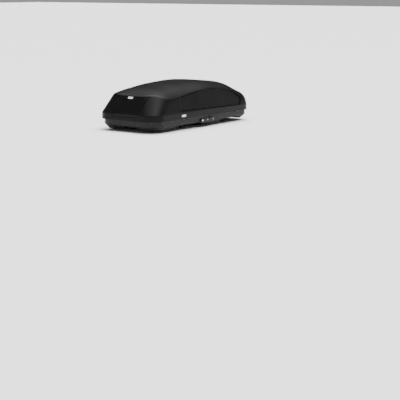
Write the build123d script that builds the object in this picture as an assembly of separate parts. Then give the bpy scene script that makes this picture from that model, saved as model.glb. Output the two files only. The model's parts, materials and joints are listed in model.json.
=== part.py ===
from build123d import *
import math
import os

os.makedirs("parts", exist_ok=True)

# Roof cargo box, dual-side opening. Millimetres. X forward, Y left, Z up.
# Origin: centre of the plan, at the bottoms of the crossbar clamps.

# lid
HALF_LEN = 885.0            # lid half length at its lip
HALF_WID = 400.0            # lid half width at its lip
LIP_Z = 120.0               # lower edge of the lid
BAND_Z = 185.0              # top of the lid's near-vertical lower band
LOFT_TOP_Z = 500.0          # level to which the side walls are lofted before the top trims them
REAR_LEAN = 192.0           # how far the rear wall has leaned forwards at that level
LID_WALL = 4.0
RIDGE_X = 90.0              # station of the highest point of the shoulder ridge
RIDGE_Z = 410.0
RIDGE_HALF_WID = 348.0
CROWN = 70.0                # rise of the crown above the shoulder ridge

# base
BASE_INSET = 26.0           # lid lip to base wall, in plan
BASE_WALL = 4.0
BASE_FRONT = 869.0          # front end of the base wall, closer to the lid than the sides are
RIM_Z = 135.0
TUCK_Z = 66.0               # below this level the base walls lean inwards
FLOOR_Z = 22.0              # lowest outside level of the base floor
ARCH_Z = 54.0               # outside level of the floor over the crossbars

# hinge lines and catches
HINGE_Y = 370.0
INSIDE_Y = 368.0            # saddles stay inboard of this below the notch floor
ARM_INSIDE_Y = 366.0        # so do the arm brackets, where the walls have curved in
HINGE_Z = 122.0
PIN_R = 5.0
CATCH_X = (-380.0, 110.0, 420.0)
ARM_A_X = (-624.0, 592.0)   # lifter arms hinged to the base on the left
ARM_B_X = (-592.0, 624.0)   # lifter arms hinged to the base on the right
RAIL_TOP = 94.0             # top of the base side rails, which carry catches and arms
NOTCH_Z = 110.0             # floor of the rim notches at catches and arms

# crossbar clamps
BAR_X = (-245.0, 500.0)
CLAMP_Y = 205.0
LOCK_X = 46.0               # centre of the lock modules
CLAMP_TRAVEL = 60.0
SLOT_HALF = 136.0
SLOT_W = 38.0
JAW_W = 30.0
JAW_PIVOT = (21.0, 80.0)    # x from the clamp's centre, z
BAR_TOP_Z = 47.0

SIDES = {"right": -1, "left": 1}
ENDS = {"rear": 0, "front": 1}


def save(shape, node):
    """Write one node; several solids go out as one compound."""
    solids = [s for item in (shape if isinstance(shape, list) else [shape]) for s in item.solids()]
    out = solids[0] if len(solids) == 1 else Compound(children=solids)
    out.label = node
    export_step(out, f"parts/{node}.step")


def box(x0, x1, y0, y1, z0, z1):
    return Pos((x0 + x1) / 2, (y0 + y1) / 2, (z0 + z1) / 2) * Box(x1 - x0, y1 - y0, z1 - z0)


def rod(p, q, r):
    """Cylinder from p to q."""
    a, b = Vector(*p), Vector(*q)
    return Solid.make_cylinder(r, (b - a).length, Plane(origin=a, z_dir=b - a))


def outline(z, x_rear, x_front, half_wid, r_rear, r_front):
    """Plan outline with bowed sides and ends and rounded corners, as a face at height z."""
    bow = 6.0
    w = half_wid - bow
    rear, front = x_rear + bow, x_front - bow
    sides = [
        ThreePointArc((rear, -w), (0, -half_wid), (front, -w)),
        ThreePointArc((front, -w), (x_front, 0), (front, w)),
        ThreePointArc((front, w), (0, half_wid), (rear, w)),
        ThreePointArc((rear, w), (x_rear, 0), (rear, -w)),
    ]
    face = make_face(sides)
    rear_corners = face.vertices().filter_by(lambda v: v.X < 0)
    face = fillet(rear_corners, r_rear)
    front_corners = [v for v in face.vertices() if abs(v.X - front) < 1 and abs(abs(v.Y) - w) < 1]
    return Pos(0, 0, z) * fillet(front_corners, r_front)


def lid_walls(d):
    """Lofted side walls of the lid, moved inwards by d."""
    low = dict(x_rear=-HALF_LEN + d, x_front=HALF_LEN - d, half_wid=HALF_WID - d)
    band = dict(x_rear=-HALF_LEN + 4 + d, x_front=HALF_LEN - 4 - d, half_wid=HALF_WID - 3 - d)
    high = dict(x_rear=-HALF_LEN + REAR_LEAN + 1.1 * d, x_front=HALF_LEN - 62 - d, half_wid=HALF_WID - 58 - d)
    corners = dict(r_rear=153 - d, r_front=150 - d)
    sections = [
        outline(40, **low, **corners),
        outline(BAND_Z, **band, **corners),
        outline(LOFT_TOP_Z, **high, r_rear=283 - d, r_front=165 - d),
    ]
    return loft(sections, ruled=True)


def top_height(x, y):
    """Height of the lid's top: a shoulder ridge with a crown across it."""
    d = x - RIDGE_X
    ridge = RIDGE_Z - (62 * (1 - math.exp(-((d / 430) ** 2))) if d < 0 else 3.2e-4 * d * d)
    crown = CROWN * (1 - max(0.0, (x - 100) / 820) ** 5) - 45 * (max(0.0, x - 700) / 180) ** 2
    crown += 25 * math.exp(-(((x + 370) / 250) ** 2)) + 32 * math.exp(-(((x - 590) / 150) ** 2))
    t = abs(y) / RIDGE_HALF_WID
    roll = 50 * (max(0.0, -x - 560) / 200) ** 2 * (1 - 0.8 * t**2)
    nose = 7.5e-4 * max(0.0, x - 560) ** 2 * (0.6 + 0.4 * t**2)
    return ridge + crown * (1 - 0.25 * t**2 - 0.75 * t**4) - roll + nose


def under_top(d):
    """Everything below the lid's top surface lowered by d."""
    xs = [-930 + 62 * i for i in range(31)]
    ys = [-425 + 42.5 * i for i in range(21)]
    rows = [[Vector(x, y, top_height(x, y) - d) for y in ys] for x in xs]
    face = Face.make_surface_from_array_of_points(rows, tol=0.05)
    return extrude(face, amount=900, dir=(0, 0, -1))


def lid_solid(d):
    return lid_walls(d) & under_top(1.08 * d)


def prism_x(points, x0, x1):
    """Polygon in the YZ plane, extruded from x0 to x1."""
    face = make_face(Polyline([(x0, y, z) for y, z in points], close=True))
    return extrude(face, amount=x1 - x0, dir=(1, 0, 0))


def prism_y(points, y0, y1):
    """Polygon in the XZ plane, extruded from y0 to y1."""
    face = make_face(Polyline([(x, y0, z) for x, z in points], close=True))
    return extrude(face, amount=y1 - y0, dir=(0, 1, 0))


def tail_panel(grow):
    """Prism along X of the tail panel's outline, an upside-down trapezoid."""
    g = grow
    points = [(-160 - g, 163 - g), (160 + g, 163 - g), (220 + g, 362 + g), (-220 - g, 362 + g)]
    return prism_x(points, -HALF_LEN - 40, -560)


def side_recess(side, grow):
    """Prism along Y of the recess in the lid's side."""
    g = grow
    points = [
        (-434 - g, 205 - g), (640 + g, 186 - g), (664 + g, 255), (560, 330 + g), (337, 375 + g),
        (155, 395 + g), (-115, 385 + g), (-285, 366 + g), (-414 - g, 345 + g),
    ]
    return prism_y(points, *sorted((side * 300, side * 460)))


# lid shell
outer = lid_solid(0)
inner = lid_solid(LID_WALL)
recess_floor = lid_solid(7)
recess_back = lid_solid(7 + LID_WALL)
panel_floor = lid_solid(7)
panel_back = lid_solid(7 + LID_WALL)
panel_cut = tail_panel(0)
outer = (outer - panel_cut) + (panel_floor & panel_cut)
inner = (inner - tail_panel(LID_WALL)) + (panel_back & tail_panel(LID_WALL))
for side in SIDES.values():
    cut = side_recess(side, 0)
    wide = side_recess(side, LID_WALL)
    outer = (outer - cut) + (recess_floor & cut)
    inner = (inner - wide) + (recess_back & wide)
keep = box(-1000, 1000, -500, 500, LIP_Z, 700)
lid = (outer - inner) & keep
save(lid, "lid_shell")

# lid trim and stiffening
gap = 0.6
tail = (lid_solid(3) - panel_floor) & tail_panel(-gap)
save(Pos(-gap, 0, 0) * tail, "lid_tail_panel")
bow_skin = lid_solid(LID_WALL + 0.5) - lid_solid(LID_WALL + 9)
bows = [bow_skin & box(x - 28, x + 28, -318, 318, 215, 700) for x in (-170, 300)]
save([b.solids().sort_by(SortBy.VOLUME)[-1] for b in bows], "lid_bows")


def plate(length, height, thick, radius):
    """Badge plate, centred on the origin, face towards -Y."""
    face = make_face(Plane.XZ * RectangleRounded(length, height, radius))
    body = extrude(face, amount=thick)
    edges = body.faces().sort_by(Axis.Y)[0].edges()
    return chamfer(edges, thick * 0.3)


lean = math.degrees(math.atan2(REAR_LEAN - 4, LOFT_TOP_Z - BAND_Z))
badge_z = 348
badge_x = -HALF_LEN + 4 + 6.5 + (badge_z - BAND_Z) * math.tan(math.radians(lean))
badge = plate(62, 20, 2.5, 3)
turned = Rot(0, 0, -90) * badge
save(Pos(badge_x - 4.6, 0, badge_z) * Rot(0, lean, 0) * turned, "badge_tail")
side_badge = plate(66, 21, 2.5, 3)
save(Pos(-400, -HALF_WID + 1.6, 154) * Rot(-1.2, 0, 0) * side_badge, "badge_right")
save(Pos(-400, HALF_WID - 1.6, 154) * Rot(0, 0, 180) * Rot(-1.2, 0, 0) * side_badge, "badge_left")

# base shell


def base_solid(d):
    """Outside of the base moved inwards by d, open-ended at the top."""
    dim = BASE_INSET + d
    wall = dict(
        x_rear=-HALF_LEN + 4 + dim, x_front=BASE_FRONT - d, half_wid=HALF_WID - dim,
        r_rear=136 - d, r_front=140 - d,
    )
    foot = dict(
        x_rear=-HALF_LEN + 76 + d, x_front=HALF_LEN - 88 - d, half_wid=342 - d,
        r_rear=112 - d, r_front=122 - d,
    )
    top = outline(RIM_Z + (60 if d else 0), **wall)
    mid = outline(TUCK_Z, **wall)
    return loft([outline(FLOOR_Z + d, **foot), mid, top], ruled=True)


def arch(bar_x, lift):
    """Prism under the floor where a crossbar passes, its ceiling raised by lift."""
    rise = ARCH_Z - FLOOR_Z
    low = FLOOR_Z - 30
    reach = 285 if bar_x < 0 else 245
    flat = 158 + lift * 0.3
    pts = [
        (bar_x - reach - lift, low), (bar_x - reach - lift, FLOOR_Z + lift * 0.2),
        (bar_x - flat, FLOOR_Z + rise + lift), (bar_x + flat, FLOOR_Z + rise + lift),
        (bar_x + reach + lift, FLOOR_Z + lift * 0.2), (bar_x + reach + lift, low),
    ]
    face = make_face(Polyline([(x, -500, z) for x, z in pts], close=True))
    soft = [v for v in face.vertices() if v.Z > FLOOR_Z + rise - 1]
    face = fillet(soft, 160)
    return extrude(face, amount=1000, dir=(0, 1, 0))


def rear_arch(lift):
    """Shallow raised arch in the middle of the base's rear edge."""
    half = 190 + lift
    top = FLOOR_Z + 33 + lift
    pts = [(-half, 0), (-half, FLOOR_Z), (-half + 75, top), (half - 75, top), (half, FLOOR_Z), (half, 0)]
    face = make_face(Polyline([(-900, y, z) for y, z in pts], close=True))
    soft = [v for v in face.vertices() if v.Z > FLOOR_Z + 10]
    face = fillet(soft, 60)
    return extrude(face, amount=900 - 690 + lift, dir=(1, 0, 0))


def under(lift):
    return [arch(x, lift) for x in BAR_X] + [rear_arch(lift)]


base = base_solid(0) - under(0)
base -= base_solid(BASE_WALL) - under(BASE_WALL)
notches = [(x, 48) for x in CATCH_X] + [(sum(p) / 2, 46) for p in zip(ARM_A_X, ARM_B_X)]
for side in SIDES.values():
    for x, half in notches:
        base -= box(x - half, x + half, *sorted((side * 350, side * 400)), NOTCH_Z, 200)
clamps = {
    f"{end}_{side}": (BAR_X[ENDS[end]], SIDES[side] * CLAMP_Y) for end in ENDS for side in SIDES
}
for cx, cy in clamps.values():
    slot = extrude(Plane.XY * RectangleRounded(2 * SLOT_HALF, SLOT_W, 8), amount=20)
    base -= Pos(cx, cy, ARCH_Z - 8) * slot

# lock modules: slots in the base wall for the tie of the button to its rail
for side in SIDES.values():
    y0, y1 = sorted((side * 350, side * 400))
    base -= box(LOCK_X - 18, LOCK_X + 18, y0, y1, RAIL_TOP + 0.4, RAIL_TOP + 4.4)
save(base, "base_shell")


def ring(z0, z1, out, inn):
    """Ring that follows the base rim, between two insets from the lid's lip."""
    def disc(inset):
        ends = (-HALF_LEN + 4 + inset, BASE_FRONT + BASE_INSET - inset)
        face = outline(z0, *ends, HALF_WID - inset, 162 - inset, 166 - inset)
        return extrude(face, amount=z1 - z0)
    return disc(out) - disc(inn)


seal = ring(RIM_Z, RIM_Z + 6, BASE_INSET - 1, BASE_INSET + BASE_WALL + 2)
for side in SIDES.values():
    for x, half in notches:
        seal -= box(x - half, x + half, *sorted((side * 340, side * 400)), NOTCH_Z, 200)
save(seal, "rim_seal")

# side rails in the base, with the screws that hold them
screws = []
for name, side in SIDES.items():
    y0, y1 = sorted((side * 343, side * 364))
    tube = box(-655, 655, y0, y1, 72, RAIL_TOP)
    tube -= box(-700, 700, y0 + 2, y1 - 2, 74, RAIL_TOP - 2)
    save(tube, f"base_rail_{name}")
    for x in (-500, -250, 240, 530):
        screws.append(Pos(x, side * 359, RAIL_TOP + 1.2) * Cylinder(4, 2.4))
save(screws, "rail_screws")

# catch saddles that the lid's pins drop into, and guides for the lock rails
for name, side in SIDES.items():
    group = []
    for cx in CATCH_X:
        y0, y1 = sorted((side * 354, side * INSIDE_Y))
        saddle = box(cx - 20, cx + 20, y0, y1, RAIL_TOP, RAIL_TOP + 3)
        b0, b1 = sorted((side * 358, side * 381))
        c0, c1 = sorted((side * 358, side * INSIDE_Y))
        for x0 in (cx - 14, cx + 6):
            saddle += box(x0, x0 + 8, c0, c1, RAIL_TOP + 3, NOTCH_Z + 0.5)
            saddle += box(x0, x0 + 8, b0, b1, NOTCH_Z + 0.5, HINGE_Z + 2)
        saddle -= rod((cx - 30, side * HINGE_Y, HINGE_Z), (cx + 30, side * HINGE_Y, HINGE_Z), PIN_R + 0.4)
        s0, s1 = sorted((side * (HINGE_Y - PIN_R - 0.4), side * (HINGE_Y + PIN_R + 0.4)))
        saddle -= box(cx - 30, cx + 30, s0, s1, HINGE_Z, HINGE_Z + 20)
        group.append(saddle)
        g0, g1 = sorted((side * 338, side * 356))
        guide = box(cx + 56, cx + 68, g0, g1, RAIL_TOP, RAIL_TOP + 7)
        h0, h1 = sorted((side * 340.5, side * 353.5))
        group.append(guide - box(cx + 50, cx + 74, h0, h1, RAIL_TOP + 0.6, RAIL_TOP + 4.6))
    save(group, f"catch_saddles_{name}")

# lock rails: hook fingers that slide over the pins, and a tie out to the button
for name, side in SIDES.items():
    b0, b1 = sorted((side * 341, side * 353))
    rail = box(-440, 500, b0, b1, RAIL_TOP + 1, RAIL_TOP + 4)
    p0, p1 = sorted((side * 341, side * 345))
    f0, f1 = sorted((side * 341, side * 377))
    for cx in CATCH_X:
        rail += box(cx - 42, cx - 28, p0, p1, RAIL_TOP + 1, HINGE_Z + 10)
        rail += box(cx - 42, cx - 28, f0, f1, HINGE_Z + PIN_R + 0.6, HINGE_Z + 10)
    t0, t1 = sorted((side * 345, side * 380))
    v0, v1 = sorted((side * 378, side * 380))
    rail += box(LOCK_X - 15, LOCK_X - 3, t0, t1, RAIL_TOP + 1, RAIL_TOP + 4)
    rail += box(LOCK_X - 15, LOCK_X - 3, v0, v1, 72, RAIL_TOP + 4)
    save(rail, f"lock_rail_{name}")

# lock modules on the outside of the base
lenses = []
for name, side in SIDES.items():
    y0, y1 = sorted((side * 350, side * 388))
    body = box(LOCK_X - 132, LOCK_X + 132, y0, y1, 50, 92)
    ends = body.edges().filter_by(Axis.Y)
    body = fillet(ends, 16)
    body = body - base_solid(0)
    c0, c1 = sorted((side * 374.6, side * 383))
    body -= box(LOCK_X - 20, LOCK_X + 20, c0, c1, 66, 110)
    w0, w1 = sorted((side * 380, side * 400))
    body -= box(LOCK_X - 20, LOCK_X + 20, w0, w1, 68, 82)
    cyl_x, lens_x = LOCK_X - 100, LOCK_X + 90
    body -= rod((cyl_x, side * 376, 74), (cyl_x, side * 400, 74), 9.05)
    body -= rod((lens_x, side * 384, 74), (lens_x, side * 400, 74), 7)
    save(body, f"lock_module_{name}")
    barrel = rod((cyl_x, side * 376.5, 74), (cyl_x, side * 389, 74), 9)
    k0, k1 = sorted((side * 386, side * 392))
    barrel -= box(cyl_x - 1.3, cyl_x + 1.3, k0, k1, 69, 79)
    save(barrel, f"key_cylinder_{name}")
    lenses.append(rod((lens_x, side * 384, 74), (lens_x, side * 389, 74), 7))
    g0, g1 = sorted((side * 380.6, side * 390))
    button = box(LOCK_X - 19, LOCK_X + 1, g0, g1, 68.6, 81.4)
    for k in range(3):
        r0, r1 = sorted((side * 390, side * 392))
        button += box(LOCK_X - 15 + 5 * k, LOCK_X - 13 + 5 * k, r0, r1, 70.5, 79.5)
    save(button, f"lock_button_{name}")
save(lenses, "lock_indicators")

# lid edge rails, catch brackets and pins
lid_rails = []
brackets = []
pins = []


def cheek(side, x0, x1):
    """Hanger from the lid's edge rail down to the hinge line."""
    pts = [(361, 116), (366, 113), (374, 113), (386, 140), (386, 172), (378, 172), (361, 134)]
    return prism_x([(side * y, z) for y, z in pts], x0, x1)


for name, side in SIDES.items():
    lid_rails.append(box(-645, 645, *sorted((side * 386, side * 389)), 142, 176))
    for cx in CATCH_X:
        hanger = cheek(side, cx - 3, cx + 3)
        hanger += box(cx - 24, cx + 24, *sorted((side * 383, side * 386)), 144, 174)
        hanger -= rod((cx - 30, side * HINGE_Y, HINGE_Z), (cx + 30, side * HINGE_Y, HINGE_Z), PIN_R)
        brackets.append(hanger)
        pins.append(rod((cx - 24, side * HINGE_Y, HINGE_Z), (cx + 24, side * HINGE_Y, HINGE_Z), PIN_R))

# lifter arms: each is hinged to the base on one side and to the lid on the other
base_ears = []
base_pins = []
springs = []


def ear_pair(make, x):
    return make(x - 14, x - 9.5) + make(x + 9.5, x + 14)


for base_name, base_side in SIDES.items():
    lid_side = -base_side
    for end in ENDS:
        x = (ARM_A_X if base_side > 0 else ARM_B_X)[ENDS[end]]
        out = -1 if base_side > 0 else 1
        by, ly = base_side * HINGE_Y, lid_side * HINGE_Y

        def base_ear(x0, x1):
            ear = box(x0, x1, *sorted((base_side * 352, base_side * ARM_INSIDE_Y)), RAIL_TOP, NOTCH_Z + 1)
            return ear + box(x0, x1, *sorted((base_side * 360, base_side * 379)), NOTCH_Z + 1, 131)

        def lid_ear(x0, x1):
            return cheek(lid_side, x0, x1)

        def hub(y, r):
            return rod((x - 8, y, HINGE_Z), (x + 8, y, HINGE_Z), r)

        ears = ear_pair(base_ear, x) - rod((x - 20, by, HINGE_Z), (x + 20, by, HINGE_Z), PIN_R)
        base_ears += ears.solids()
        base_pins.append(rod((x - 14, by, HINGE_Z), (x + 14, by, HINGE_Z), PIN_R))
        base_pins.append(rod((x + 14 * out, by, HINGE_Z), (x + 27 * out, by, HINGE_Z), PIN_R))
        hangers = ear_pair(lid_ear, x) - rod((x - 20, ly, HINGE_Z), (x + 20, ly, HINGE_Z), PIN_R)
        brackets += hangers.solids()
        pins.append(rod((x - 14, ly, HINGE_Z), (x + 14, ly, HINGE_Z), PIN_R))
        route = [(HINGE_Y, HINGE_Z), (346, 190), (292, 282), (150, 322)]
        left = [(x, y, z) for y, z in route]
        path = FilletPolyline(*left, *[(x, -y, z) for _, y, z in reversed(left)], radius=60)
        start = Plane(origin=path @ 0, z_dir=path % 0)
        tube = sweep(start * Circle(6), path=path)
        arm = tube + hub(HINGE_Y, 10) + hub(-HINGE_Y, 10)
        arm -= hub(HINGE_Y, PIN_R + 0.05) + hub(-HINGE_Y, PIN_R + 0.05)
        save(arm, f"lifter_arm_{base_name}_{end}")
        coil = Helix(pitch=2.6, height=8.4, radius=7.2, direction=(out, 0, 0), center=(x + 16 * out, by, HINGE_Z))
        wire = sweep(Plane(origin=coil @ 0, z_dir=coil % 0) * Circle(1.0), path=coil, is_frenet=True)
        springs.append(wire)
save(lid_rails, "lid_edge_rails")
save(brackets, "lid_brackets")
save(pins, "lid_pins")
save(base_ears, "arm_brackets")
save(base_pins, "arm_pins")
save(springs, "arm_springs")

# crossbar clamps
guides = []
guide_screws = []
for where, (cx, cy) in clamps.items():
    at = Pos(cx, cy, 0)
    floor = ARCH_Z + BASE_WALL
    strip = box(-SLOT_HALF - 14, SLOT_HALF + 14, -38, 38, floor, floor + 2)
    slot = extrude(Plane.XY * RectangleRounded(2 * SLOT_HALF, SLOT_W, 8), amount=20)
    guides.append(at * (strip - Pos(0, 0, floor - 5) * slot))
    for x in (-SLOT_HALF + 20, SLOT_HALF - 20):
        for y in (-33.5, 33.5):
            guide_screws.append(at * Pos(x, y, floor + 3) * Cylinder(3, 2))
    low = floor + 2.4
    house = box(-44, 44, -29, 29, low, 112)
    house = fillet(house.edges().filter_by(Axis.Z), 10)
    house = chamfer(house.faces().sort_by(Axis.Z)[-1].edges(), 3)
    house -= box(-60, 60, -15.4, 15.4, low - 5, 97)
    px, pz = JAW_PIVOT
    for sx in (-1, 1):
        house -= rod((sx * px, -23, pz), (sx * px, 23, pz), 3.05)
    house -= Pos(0, 0, 105) * Cylinder(4.05, 30)
    save(at * house, f"clamp_{where}_housing")
    knob = Pos(0, 0, 122) * Cylinder(27, 18)
    for k in range(6):
        a = math.radians(60 * k + 30)
        knob -= Pos(31 * math.cos(a), 31 * math.sin(a), 122) * Cylinder(9, 40)
    knob = fillet(knob.faces().sort_by(Axis.Z)[-1].edges(), 2.5)
    knob += rod((0, 0, 70), (0, 0, 114), 4)
    save(at * knob, f"clamp_{where}_knob")
    for sx, jaw_name in ((1, "front"), (-1, "rear")):
        pts = [
            (14, 76), (15, 85), (26, 86), (45, 72), (54, 58), (56, 30), (50, 10), (38, 0), (34, 1),
            (34, 4), (44, 17), (47, 30), (46, 52), (37, 63), (24, 70),
        ]
        jaw = prism_y([(sx * x, z) for x, z in pts], -JAW_W / 2, JAW_W / 2)
        jaw += rod((sx * px, -22.5, pz), (sx * px, 22.5, pz), 3)
        save(at * jaw, f"clamp_{where}_jaw_{jaw_name}")
    pad = fillet(box(-31, 31, -29, 29, BAR_TOP_Z, ARCH_Z - 0.5).edges().filter_by(Axis.Z), 6)
    for y in (-17, 17):
        pad += box(-26, 26, y - 1.3, y + 1.3, ARCH_Z - 0.6, low)
    save(at * pad, f"clamp_{where}_pad")
save(guides, "clamp_guides")
save(guide_screws, "guide_screws")

# load straps, lying across the floor, with buckles and anchors
straps = []
buckles = []
anchors = []
for x in (-610, 135):
    z = FLOOR_Z + BASE_WALL
    run = [(-333, 62), (-318, 40), (-296, z + 0.4), (296, z + 0.4), (318, 40), (333, 62)]
    band = run + [(y * 0.9955, h + 1.6) for y, h in reversed(run)]
    straps.append(prism_x(band, x - 12.5, x + 12.5))
    shell = box(x - 19, x + 19, 70, 132, z + 2.3, z + 11)
    shell = fillet(shell.edges().filter_by(Axis.Z), 6)
    buckles.append(shell)
    for side in (-1, 1):
        y0, y1 = sorted((side * 334, side * 342))
        anchors.append(box(x - 18, x + 18, y0, y1, 60, 66) + box(x - 18, x + 18, *sorted((side * 338, side * 343)), 66, 90))
save(straps, "load_straps")
save(buckles, "strap_buckles")
save(anchors, "strap_anchors")
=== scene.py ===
import json
import math

import bmesh
import bpy
import numpy as np
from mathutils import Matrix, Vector


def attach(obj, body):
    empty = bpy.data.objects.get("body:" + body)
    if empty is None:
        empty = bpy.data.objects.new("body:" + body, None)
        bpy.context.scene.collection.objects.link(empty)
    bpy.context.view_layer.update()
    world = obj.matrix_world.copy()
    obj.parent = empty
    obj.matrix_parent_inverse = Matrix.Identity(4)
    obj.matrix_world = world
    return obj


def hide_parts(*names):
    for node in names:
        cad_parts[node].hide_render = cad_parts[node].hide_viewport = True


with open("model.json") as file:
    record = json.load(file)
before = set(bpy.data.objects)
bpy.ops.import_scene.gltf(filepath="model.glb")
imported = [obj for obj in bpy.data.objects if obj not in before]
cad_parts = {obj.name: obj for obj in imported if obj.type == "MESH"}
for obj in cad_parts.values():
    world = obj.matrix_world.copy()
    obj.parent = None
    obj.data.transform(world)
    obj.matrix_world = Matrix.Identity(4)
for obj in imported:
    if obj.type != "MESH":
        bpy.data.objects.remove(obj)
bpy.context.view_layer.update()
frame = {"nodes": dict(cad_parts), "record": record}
nodes = frame["nodes"]

# ---------------------------------------------------------------- lid form
HALF_LEN, HALF_WID = 0.885, 0.400
FOOT_Z, LIP_Z, BAND_Z, LOFT_TOP_Z = 0.040, 0.120, 0.185, 0.500
BOW = 0.006  # how far each side bulges between its corners
WALL = 0.004
RECESS_DEPTH = 0.007
SHADED_STEP_PRESS = 0.0012  # a face pressed in unevenly by more than this belongs to a recess's step, which gets the darker step material as painted shade


def section_at(z):
    """Rear end, front end, half width and corner radii of the lid's plan at height z."""
    low = np.array([-HALF_LEN, HALF_LEN, HALF_WID, 0.153, 0.150])
    band = np.array([-0.881, 0.881, 0.397, 0.153, 0.150])
    high = np.array([-0.693, 0.823, 0.342, 0.283, 0.165])
    z = np.asarray(z, float)[..., None]
    a = low + (band - low) * (z - FOOT_Z) / (BAND_Z - FOOT_Z)
    b = band + (high - band) * (z - BAND_Z) / (LOFT_TOP_Z - BAND_Z)
    return np.where(z < BAND_Z, a, b)


def ring_fractions():
    """Stations round the plan: (segment, fraction) for 4 sides and 4 corners."""
    counts = (230, 26, 64, 26, 230, 26, 110, 26)
    out = []
    for seg, n in enumerate(counts):
        out += [(seg, i / n) for i in range(n)]
    return np.array(out)


STATIONS = ring_fractions()


def plan_points(z):
    """Points of the plan outline at the stations, at heights z (one height for each station)."""
    s = section_at(z)
    x0, x1, w, rr, rf = (s[..., i] for i in range(5))
    seg, t = STATIONS[:, 0], STATIONS[:, 1]
    xr, xf, yw = x0 + BOW, x1 - BOW, w - BOW
    x = np.zeros(len(seg))
    y = np.zeros(len(seg))
    ang = t * math.pi / 2

    def put(k, px, py):
        m = seg == k
        x[m], y[m] = px[m], py[m]

    put(0, xr + rr + (xf - rf - xr - rr) * t, -yw)
    put(1, xf - rf + rf * np.sin(ang), -yw + rf - rf * np.cos(ang))
    put(2, xf, -(yw - rf) + 2 * (yw - rf) * t)
    put(3, xf - rf + rf * np.cos(ang), yw - rf + rf * np.sin(ang))
    put(4, xf - rf - (xf - rf - xr - rr) * t, yw)
    put(5, xr + rr - rr * np.sin(ang), yw - rr + rr * np.cos(ang))
    put(6, xr, (yw - rr) - 2 * (yw - rr) * t)
    put(7, xr + rr - rr * np.cos(ang), -(yw - rr) - rr * np.sin(ang))
    y = y + np.sign(y) * BOW * (1 - (x / x1) ** 2) * np.minimum(1, np.abs(y) / yw)
    x = x + np.sign(x) * BOW * (1 - (y / w) ** 2) * np.minimum(1, np.abs(x) / xf)
    return x, y


def top_height(x, y):
    """Height of the lid's top: a shoulder ridge with a crown across it."""
    d = x - 0.090
    ridge = 0.410 - np.where(d < 0, 0.062 * (1 - np.exp(-((d / 0.430) ** 2))), 0.32 * d * d)
    crown = 0.070 * (1 - np.clip((x - 0.100) / 0.820, 0, None) ** 5)
    crown -= 0.045 * (np.clip(x - 0.700, 0, None) / 0.180) ** 2
    crown += 0.025 * np.exp(-(((x + 0.370) / 0.250) ** 2)) + 0.032 * np.exp(-(((x - 0.590) / 0.150) ** 2))
    t = np.abs(y) / 0.348
    roll = 0.050 * (np.clip(-x - 0.560, 0, None) / 0.200) ** 2 * (1 - 0.8 * t**2)
    nose = 0.75 * np.clip(x - 0.560, 0, None) ** 2 * (0.6 + 0.4 * t**2)
    return ridge + crown * (1 - 0.25 * t**2 - 0.75 * t**4) - roll + nose


def polygon_distance(px, pz, poly):
    """Signed distance from points to a polygon, positive inside."""
    best = np.full(px.shape, 1e9)
    inside = np.zeros(px.shape, bool)
    n = len(poly)
    for i in range(n):
        (ax, az), (bx, bz) = poly[i], poly[(i + 1) % n]
        ex, ez = bx - ax, bz - az
        t = np.clip(((px - ax) * ex + (pz - az) * ez) / (ex * ex + ez * ez), 0, 1)
        best = np.minimum(best, np.hypot(px - ax - t * ex, pz - az - t * ez))
        cross = ((az > pz) != (bz > pz)) & (px < (bx - ax) * (pz - az) / (bz - az + 1e-12) + ax)
        inside ^= cross
    return np.where(inside, best, -best)


def smooth(a, b, v):
    t = np.clip((v - a) / (b - a), 0, 1)
    return t * t * (3 - 2 * t)


SIDE_RECESS = [
    (-0.434, 0.205), (0.640, 0.186), (0.664, 0.255), (0.560, 0.330), (0.337, 0.375),
    (0.155, 0.395), (-0.115, 0.385), (-0.285, 0.366), (-0.414, 0.345),
]
TAIL_RECESS = [(-0.160, 0.163), (0.160, 0.163), (0.220, 0.362), (-0.220, 0.362)]


def mesh_object(name, verts, faces, smooth_shade=True):
    me = bpy.data.meshes.new(name)
    me.from_pydata([tuple(v) for v in verts], [], [tuple(f) for f in faces])
    me.validate()
    ob = bpy.data.objects.new(name, me)
    bpy.context.scene.collection.objects.link(ob)
    if smooth_shade:
        me.polygons.foreach_set("use_smooth", [True] * len(me.polygons))
    return ob


def apply_modifiers(ob):
    deps = bpy.context.evaluated_depsgraph_get()
    me = bpy.data.meshes.new_from_object(ob.evaluated_get(deps))
    ob.modifiers.clear()
    old = ob.data
    ob.data = me
    bpy.data.meshes.remove(old)


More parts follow.
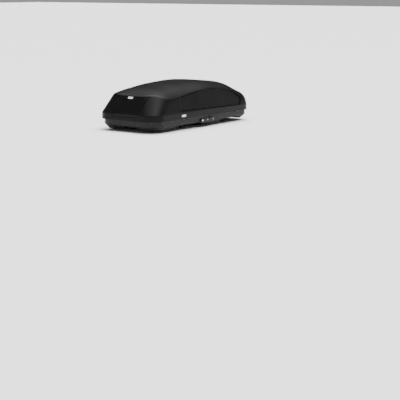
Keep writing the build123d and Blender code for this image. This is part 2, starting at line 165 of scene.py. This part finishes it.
def build_lid():
    n = len(STATIONS)
    lo, hi = np.full(n, 0.200), np.full(n, 0.499)
    for _ in range(40):
        mid = (lo + hi) / 2
        x, y = plan_points(mid)
        above = top_height(x, y) > mid
        lo, hi = np.where(above, mid, lo), np.where(above, hi, mid)
    crease = (lo + hi) / 2
    cx, cy = plan_points(crease)
    spine_x = np.clip(cx, -0.52, 0.50) * 0.80
    rows = []
    fillet = 0.012 + 0.060 * smooth(0.45, 0.80, cx)
    wall_rows = 62
    for i in range(wall_rows + 1):
        z = LIP_Z + (crease - fillet - LIP_Z) * i / wall_rows
        x, y = plan_points(z)
        rows.append(np.c_[x, y, z])

    def on_top(dist):
        run = np.hypot(cx - spine_x, cy)
        k = np.clip(dist / run, 0, 1)
        x, y = cx + (spine_x - cx) * k, cy * (1 - k)
        return np.c_[x, y, top_height(x, y)]

    a, c, b = rows[-1], np.c_[cx, cy, crease], on_top(fillet)
    for i in range(1, 8):
        t = i / 8
        rows.append(a * (1 - t) ** 2 + 2 * c * t * (1 - t) + b * t**2)
    run = np.hypot(cx - spine_x, cy)
    top_rows = 44
    for i in range(top_rows):
        k = (i / top_rows) ** 0.9
        rows.append(on_top(fillet + (run - fillet) * k))
    verts = np.concatenate(rows)
    # recesses pressed in from the outside
    x, y, z = verts[:, 0], verts[:, 1], verts[:, 2]
    d_side = polygon_distance(x, z, SIDE_RECESS)
    depth = RECESS_DEPTH * (0.45 + 0.55 * np.maximum(smooth(-0.10, -0.30, x), smooth(0.18, 0.40, x)))
    on_side = (np.abs(y) > 0.30) & (x > -0.6)
    side_press = np.where(on_side, depth * smooth(-0.003, 0.003, d_side), 0)
    verts[:, 1] -= np.sign(y) * side_press
    d_tail = polygon_distance(y, z, TAIL_RECESS)
    on_tail = x < -0.62
    tail_press = np.where(on_tail, RECESS_DEPTH * smooth(-0.001, 0.003, d_tail), 0)
    verts[:, 0] += tail_press
    faces = []
    count = len(rows)
    for r in range(count - 1):
        a0, b0 = r * n, (r + 1) * n
        faces += [(a0 + i, a0 + (i + 1) % n, b0 + (i + 1) % n, b0 + i) for i in range(n)]
    # close the crown: the last ring is stitched to its mirror image across the spine
    last = (count - 1) * n
    ob = mesh_object("lid_moulding", verts, faces)
    # faces on a recess's step get the darker, rougher second material: painted shade standing in for the
    # shadow in the step
    for press in (side_press, tail_press):
        for poly in ob.data.polygons:
            if np.ptp(press[list(poly.vertices)]) > SHADED_STEP_PRESS:
                poly.material_index = 1
    bm = bmesh.new()
    bm.from_mesh(ob.data)
    bm.verts.ensure_lookup_table()
    ring = [bm.verts[last + i] for i in range(n)]
    edges = [e for e in bm.edges if e.verts[0].index >= last and e.verts[1].index >= last]
    made = bmesh.ops.holes_fill(bm, edges=edges, sides=0)
    bmesh.ops.triangulate(bm, faces=made["faces"])
    bmesh.ops.remove_doubles(bm, verts=ring, dist=0.0006)
    for f in bm.faces:
        f.smooth = True
    bm.to_mesh(ob.data)
    bm.free()
    wall = ob.modifiers.new("wall", "SOLIDIFY")
    wall.thickness = WALL
    wall.offset = -1
    wall.use_even_offset = False
    apply_modifiers(ob)
    return ob


lid = build_lid()
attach(lid, "lid")
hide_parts("lid_shell")


# ---------------------------------------------------------------- small pieces
BAR_X, CLAMP_Y, RAIL_TOP, FLOOR_IN = (-0.245, 0.500), 0.205, 0.094, 0.026


def hex_radius(angle, across):
    """Radius of a hexagon with that inner radius at an angle."""
    k = (angle + math.pi / 6) % (math.pi / 3) - math.pi / 6
    return across / math.cos(k)


def socket_screws(name, places, r, h, stands_for):
    """Pan-head screws with a hexagon socket, standing on the given points."""
    seg = 36
    angles = [2 * math.pi * i / seg for i in range(seg)]
    socket = [hex_radius(a, 0.42 * r) for a in angles]
    verts, faces = [], []
    for px, py, pz in places:
        rings = [(r, 0.0), (r, 0.40 * h), (0.95 * r, 0.68 * h), (0.80 * r, 0.90 * h), (0.62 * r, h)]
        start = len(verts)
        for rad, z in rings:
            verts += [(px + rad * math.cos(a), py + rad * math.sin(a), pz + z) for a in angles]
        for z in (h, 0.32 * h):
            verts += [(px + k * math.cos(a), py + k * math.sin(a), pz + z) for a, k in zip(angles, socket)]
        for k in range(len(rings) + 1):
            a0, b0 = start + k * seg, start + (k + 1) * seg
            faces += [(a0 + i, a0 + (i + 1) % seg, b0 + (i + 1) % seg, b0 + i) for i in range(seg)]
        faces.append(tuple(start + (len(rings) + 1) * seg + i for i in range(seg)))
        faces.append(tuple(start + i for i in reversed(range(seg))))
    ob = mesh_object(name, verts, faces, smooth_shade=False)
    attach(ob, "base")
    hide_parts(stands_for)
    return ob


rail_screws = socket_screws(
    "rail_screw_heads",
    [(x, s * 0.359, RAIL_TOP) for s in (-1, 1) for x in (-0.500, -0.250, 0.240, 0.530)],
    0.0040, 0.0024, "rail_screws",
)
guide_screws = socket_screws(
    "guide_screw_heads",
    [
        (cx + dx, s * CLAMP_Y + dy, 0.060)
        for cx in BAR_X for s in (-1, 1) for dx in (-0.116, 0.116) for dy in (-0.0335, 0.0335)
    ],
    0.0030, 0.0020, "guide_screws",
)


def chaikin(points, times):
    for _ in range(times):
        out = [points[0]]
        for p, q in zip(points, points[1:]):
            out += [p * 0.75 + q * 0.25, p * 0.25 + q * 0.75]
        points = out + [points[-1]]
    return points


def webbing_strap(name, x):
    """Flat strap across the tray: thin woven tape with rounded selvages and its ends rising at both sides.
    """
    lift = FLOOR_IN + 0.0004
    half = [(-0.3325, 0.0618), (-0.318, 0.0405), (-0.294, lift + 0.0004), (-0.10, lift + 0.0001)]
    run = [np.array(p) for p in half] + [np.array((-y, z)) for y, z in reversed(half)]
    path = chaikin(run, 4)
    edge = [(0.0125, 0.4), (0.0121, 0.85), (0.0112, 1.0)]  # half width and share of the thickness
    across = [(-u, h) for u, h in edge] + [(0.0, 0.94)] + edge[::-1]
    loop = [(u, h * 0.0014) for u, h in across] + [(0.0118, 0.0), (-0.0118, 0.0)]
    verts, faces = [], []
    for i, p in enumerate(path):
        a, b = path[max(0, i - 1)], path[min(len(path) - 1, i + 1)]
        t = (b - a) / np.linalg.norm(b - a)
        up = np.array((-t[1], t[0]))
        wave = 0.00012 * math.sin(i * 0.55 + x * 20)
        for u, h in loop:
            yz = p + up * (h + wave * (h > 0))
            verts.append((x + u, yz[0], yz[1]))
    n = len(loop)
    for i in range(len(path) - 1):
        a0, b0 = i * n, (i + 1) * n
        faces += [(a0 + k, a0 + (k + 1) % n, b0 + (k + 1) % n, b0 + k) for k in range(n)]
    faces += [tuple(range(n))[::-1], tuple((len(path) - 1) * n + k for k in range(n))]
    ob = mesh_object(name, verts, faces)
    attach(ob, "base")
    return ob


straps = [webbing_strap("strap_webbing_rear", -0.610), webbing_strap("strap_webbing_front", 0.135)]
for strap in straps:
    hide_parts("load_straps")

EDGE_WIDTHS = {
    "_housing": 0.0008, "_knob": 0.0007, "lock_module": 0.0009, "strap_buckles": 0.0012,
    "catch_saddles": 0.0004, "lock_rail": 0.0004, "lock_button": 0.0004, "_jaw_": 0.0005,
    "_pad": 0.0006, "lid_brackets": 0.0004, "arm_brackets": 0.0004, "clamp_guides": 0.0003,
}
for name, width in EDGE_WIDTHS.items():
    for node, ob in nodes.items():
        if name in node:
            soft = ob.modifiers.new("soft_edges", "BEVEL")
            soft.width = width
            soft.segments = 2
            soft.limit_method = "ANGLE"
            soft.angle_limit = math.radians(40)


# ---------------------------------------------------------------- materials
def material(name, color, rough, metal=0.0, spec=0.5, grain=900.0, bump=0.12, mottle=0.10, blotch=5.0,
             wear=0.0, stretch=(1, 1, 1)):
    """Node material: colour mottle, roughness variation and a fine surface grain at real scale."""
    mat = bpy.data.materials.new(name)
    mat.use_nodes = True
    nt = mat.node_tree
    nd, ln = nt.nodes, nt.links
    nd.clear()
    out = nd.new("ShaderNodeOutputMaterial")
    sh = nd.new("ShaderNodeBsdfPrincipled")
    ln.new(sh.outputs[0], out.inputs[0])
    sh.inputs["Metallic"].default_value = metal
    sh.inputs["Specular IOR Level"].default_value = spec
    tc = nd.new("ShaderNodeTexCoord")
    mp = nd.new("ShaderNodeMapping")
    mp.inputs["Scale"].default_value = stretch
    ln.new(tc.outputs["Object"], mp.inputs[0])

    def noise(scale, detail, rough_n=0.55):
        n = nd.new("ShaderNodeTexNoise")
        n.inputs["Scale"].default_value = scale
        n.inputs["Detail"].default_value = detail
        n.inputs["Roughness"].default_value = rough_n
        ln.new(mp.outputs[0], n.inputs["Vector"])
        return n

    def ramp(src, lo, hi, a, b):
        r = nd.new("ShaderNodeMapRange")
        r.inputs["From Min"].default_value = lo
        r.inputs["From Max"].default_value = hi
        r.inputs["To Min"].default_value = a
        r.inputs["To Max"].default_value = b
        ln.new(src, r.inputs["Value"])
        return r

    big = noise(blotch, 4)
    fine = noise(grain, 3)
    mix = nd.new("ShaderNodeMix")
    mix.data_type = "RGBA"
    dark = tuple(c * (1 - mottle) for c in color)
    light = tuple(min(1, c * (1 + mottle)) for c in color)
    mix.inputs[6].default_value = (*dark, 1)
    mix.inputs[7].default_value = (*light, 1)
    ln.new(big.outputs["Fac"], mix.inputs[0])
    col = mix.outputs[2]
    if wear:
        geo = nd.new("ShaderNodeNewGeometry")
        edge = ramp(geo.outputs["Pointiness"], 0.52, 0.60, 0.0, wear)
        scr = noise(60, 6, 0.7)
        scuff = ramp(scr.outputs["Fac"], 0.45, 0.62, 0.0, 1.0)
        mul = nd.new("ShaderNodeMath")
        mul.operation = "MULTIPLY"
        ln.new(edge.outputs[0], mul.inputs[0])
        ln.new(scuff.outputs[0], mul.inputs[1])
        worn = nd.new("ShaderNodeMix")
        worn.data_type = "RGBA"
        worn.inputs[7].default_value = (*[min(1, c * 2.2 + 0.03) for c in color], 1)
        ln.new(mul.outputs[0], worn.inputs[0])
        ln.new(col, worn.inputs[6])
        col = worn.outputs[2]
    ln.new(col, sh.inputs["Base Color"])
    rr = ramp(big.outputs["Fac"], 0.3, 0.7, max(0.02, rough - 0.05), min(1, rough + 0.05))
    ln.new(rr.outputs[0], sh.inputs["Roughness"])
    bm = nd.new("ShaderNodeBump")
    bm.inputs["Strength"].default_value = bump
    bm.inputs["Distance"].default_value = 0.0004
    ln.new(fine.outputs["Fac"], bm.inputs["Height"])
    ln.new(bm.outputs[0], sh.inputs["Normal"])
    return mat


MATS = {
    "lid_plastic": material("lid_abs", (0.0057, 0.0057, 0.0060), 0.36, spec=0.09, grain=700, wear=0.25),
    # the step material is the lid plastic made darker and duller: painted shade for the recess steps
    "lid_step_painted_shade": material("lid_abs_step_painted_shade", (0.0030, 0.0030, 0.0032), 0.70, spec=0.02, grain=700),
    "base_plastic": material(
        "base_abs", (0.015, 0.015, 0.0154), 0.40, spec=0.12, grain=420, bump=0.3, wear=0.3),
    "trim_black": material("gloss_black", (0.0060, 0.0060, 0.0064), 0.24, spec=0.10, bump=0.05),
    "badge": material("badge_plate", (0.72, 0.73, 0.74), 0.35, grain=1500, bump=0.05, mottle=0.04),
    "rubber": material("epdm", (0.012, 0.012, 0.012), 0.72, spec=0.3, grain=500, bump=0.35),
    "aluminium": material(
        "mill_aluminium", (0.62, 0.63, 0.64), 0.38, metal=1, grain=300, bump=0.15, stretch=(0.03, 1, 1)),
    "steel": material(
        "black_steel", (0.035, 0.036, 0.038), 0.42, grain=260, bump=0.15, mottle=0.16, blotch=30),
    "screws": material(
        "bright_zinc", (0.60, 0.60, 0.61), 0.30, metal=1, grain=500, bump=0.10, mottle=0.12, blotch=60),
    "chrome": material("plated", (0.75, 0.76, 0.77), 0.16, metal=1, bump=0.05, mottle=0.05),
    "grey_plastic": material("grey_pp", (0.30, 0.305, 0.31), 0.45, grain=600, bump=0.25),
    "webbing": material("webbing_plain", (0.012, 0.012, 0.013), 0.85, bump=0.5),
}


def weave(mat, pitch):
    """Adds a twill weave of that pitch to a material's bump and colour."""
    nt = mat.node_tree
    nd, ln = nt.nodes, nt.links
    bump = next(n for n in nd if n.type == "BUMP")
    shader = next(n for n in nd if n.type == "BSDF_PRINCIPLED")
    tc = next(n for n in nd if n.type == "TEX_COORD")
    total = None
    for turn in (math.radians(35), math.radians(-35)):
        mp = nd.new("ShaderNodeMapping")
        mp.inputs["Rotation"].default_value = (0, 0, turn)
        ln.new(tc.outputs["Object"], mp.inputs[0])
        wave = nd.new("ShaderNodeTexWave")
        wave.inputs["Scale"].default_value = 0.314 / pitch
        wave.inputs["Distortion"].default_value = 0.6
        ln.new(mp.outputs[0], wave.inputs["Vector"])
        if total is None:
            total = wave.outputs["Fac"]
        else:
            add = nd.new("ShaderNodeMath")
            add.operation = "MAXIMUM"
            ln.new(total, add.inputs[0])
            ln.new(wave.outputs["Fac"], add.inputs[1])
            total = add.outputs[0]
    ln.new(total, bump.inputs["Height"])
    bump.inputs["Distance"].default_value = 0.0005
    bump.inputs["Strength"].default_value = 0.8
    base = shader.inputs["Base Color"].links[0].from_socket
    mul = nd.new("ShaderNodeMix")
    mul.data_type = "RGBA"
    mul.inputs[7].default_value = (0.035, 0.035, 0.037, 1)
    ln.new(total, mul.inputs[0])
    ln.new(base, mul.inputs[6])
    ln.new(mul.outputs[2], shader.inputs["Base Color"])


weave(MATS["webbing"], 0.0016)
record = frame["record"]
for part in record["subparts"]:
    ob = nodes[part["node"]]
    mat = MATS[part["material_slot"]]
    ob.data.materials.clear()
    ob.data.materials.append(mat)
for key in ("lid_plastic", "lid_step_painted_shade"):
    lid.data.materials.append(MATS[key])
for ob in (rail_screws, guide_screws):
    ob.data.materials.append(MATS["screws"])
for strap in straps:
    strap.data.materials.append(MATS["webbing"])

# ---------------------------------------------------------------- studio
floor = mesh_object("floor", [(-60, -60, 0), (60, -60, 0), (60, 60, 0), (-60, 60, 0)], [(0, 1, 2, 3)], False)
floor_finish = material("studio_floor", (0.90, 0.90, 0.90), 0.9, spec=0.1, grain=40, bump=0.02, mottle=0.01)
floor.data.materials.append(floor_finish)


def area(name, loc, aim, size, power, size_y=None):
    li = bpy.data.lights.new(name, "AREA")
    li.shape = "RECTANGLE"
    li.size = size
    li.size_y = size_y or size
    li.energy = power
    ob = bpy.data.objects.new(name, li)
    ob.location = loc
    ob.rotation_euler = (Vector(aim) - Vector(loc)).to_track_quat("-Z", "Y").to_euler()
    bpy.context.scene.collection.objects.link(ob)
    return ob


def gradient(nt, value, stops):
    """Colour ramp over value; stops are (position, grey level)."""
    top = max(v for _, v in stops)
    ramp = nt.nodes.new("ShaderNodeValToRGB")
    el = ramp.color_ramp.elements
    while len(el) < len(stops):
        el.new(0.5)
    for e, (p, v) in zip(el, stops):
        e.position = p
        e.color = (v / top, v / top, v / top, 1)
    nt.links.new(value, ramp.inputs[0])
    gain = nt.nodes.new("ShaderNodeMath")
    gain.operation = "MULTIPLY"
    gain.inputs[1].default_value = top
    nt.links.new(ramp.outputs[0], gain.inputs[0])
    return gain.outputs[0]


def along(nt, vector, axis):
    """How far a direction points along an axis, from 0 (against it) to 1 (with it)."""
    dot = nt.nodes.new("ShaderNodeVectorMath")
    dot.operation = "DOT_PRODUCT"
    dot.inputs[1].default_value = axis
    nt.links.new(vector, dot.inputs[0])
    half = nt.nodes.new("ShaderNodeMath")
    half.operation = "MULTIPLY_ADD"
    half.inputs[1].default_value = 0.5
    half.inputs[2].default_value = 0.5
    nt.links.new(dot.outputs["Value"], half.inputs[0])
    return half.outputs[0]


def combine(nt, operation, a, b):
    node = nt.nodes.new("ShaderNodeMath")
    node.operation = operation
    nt.links.new(a, node.inputs[0])
    nt.links.new(b, node.inputs[1])
    return node.outputs[0]


def soft_sky():
    """Studio light from above that fades towards the rear left, and a low glow all round but in front."""
    world = bpy.data.worlds.new("studio")
    bpy.context.scene.world = world
    world.use_nodes = True
    nt = world.node_tree
    bg = nt.nodes["Background"]
    bg.inputs[0].default_value = (1, 1, 1, 1)
    tc = nt.nodes.new("ShaderNodeTexCoord")
    up = nt.nodes.new("ShaderNodeSeparateXYZ")
    nt.links.new(tc.outputs["Generated"], up.inputs[0])
    way = tc.outputs["Generated"]

    def layer(by_height, axis, by_side):
        height = gradient(nt, up.outputs[2], by_height)
        return combine(nt, "MULTIPLY", height, gradient(nt, along(nt, way, axis), by_side))

    sky = layer(SKY_BY_HEIGHT, SKY_AXIS, SKY_BY_SIDE)
    glow = layer(GLOW_BY_HEIGHT, GLOW_AXIS, GLOW_BY_SIDE)
    nt.links.new(combine(nt, "ADD", sky, glow), bg.inputs[1])


# gradient stops: (position, strength)
SKY_BY_HEIGHT = [
    (0.0, 0.35), (0.06, 0.26), (0.13, 0.06), (0.24, 0.02),
    (0.45, 0.15), (0.62, 0.60), (0.76, 1.3), (0.90, 11.0),
]
SKY_AXIS = Vector((0.95, -0.25, 0.20)).normalized()
SKY_BY_SIDE = [(0.20, 0.10), (0.45, 0.30), (0.58, 0.9), (0.75, 1.0)]
GLOW_BY_HEIGHT = [(0.0, 0.75), (0.12, 0.62), (0.35, 0.45), (0.55, 0.12), (0.65, 0.0)]
GLOW_AXIS = Vector((0.62, 0.78, 0.0)).normalized()
GLOW_BY_SIDE = [(0.38, 1.0), (0.50, 0.70), (0.64, 0.0)]
soft_sky()
area("overhead", (0.5, -0.5, 9.0), (0.0, 0.0, 0.0), 5.0, 60)

cam_data = bpy.data.cameras.new("camera")
cam_data.sensor_width = 36.0
cam_data.lens = 104.544
cam_data.clip_end = 200
cam = bpy.data.objects.new("camera", cam_data)
yaw, pitch = math.radians(36.142), math.radians(10.561)
look = Vector((math.cos(pitch) * math.cos(yaw), math.cos(pitch) * math.sin(yaw), -math.sin(pitch)))
cam.location = (-9.989, -7.607, 1.503)
cam.rotation_euler = look.to_track_quat("-Z", "Y").to_euler()
bpy.context.scene.collection.objects.link(cam)
bpy.context.scene.camera = cam

bpy.context.view_layer.update()
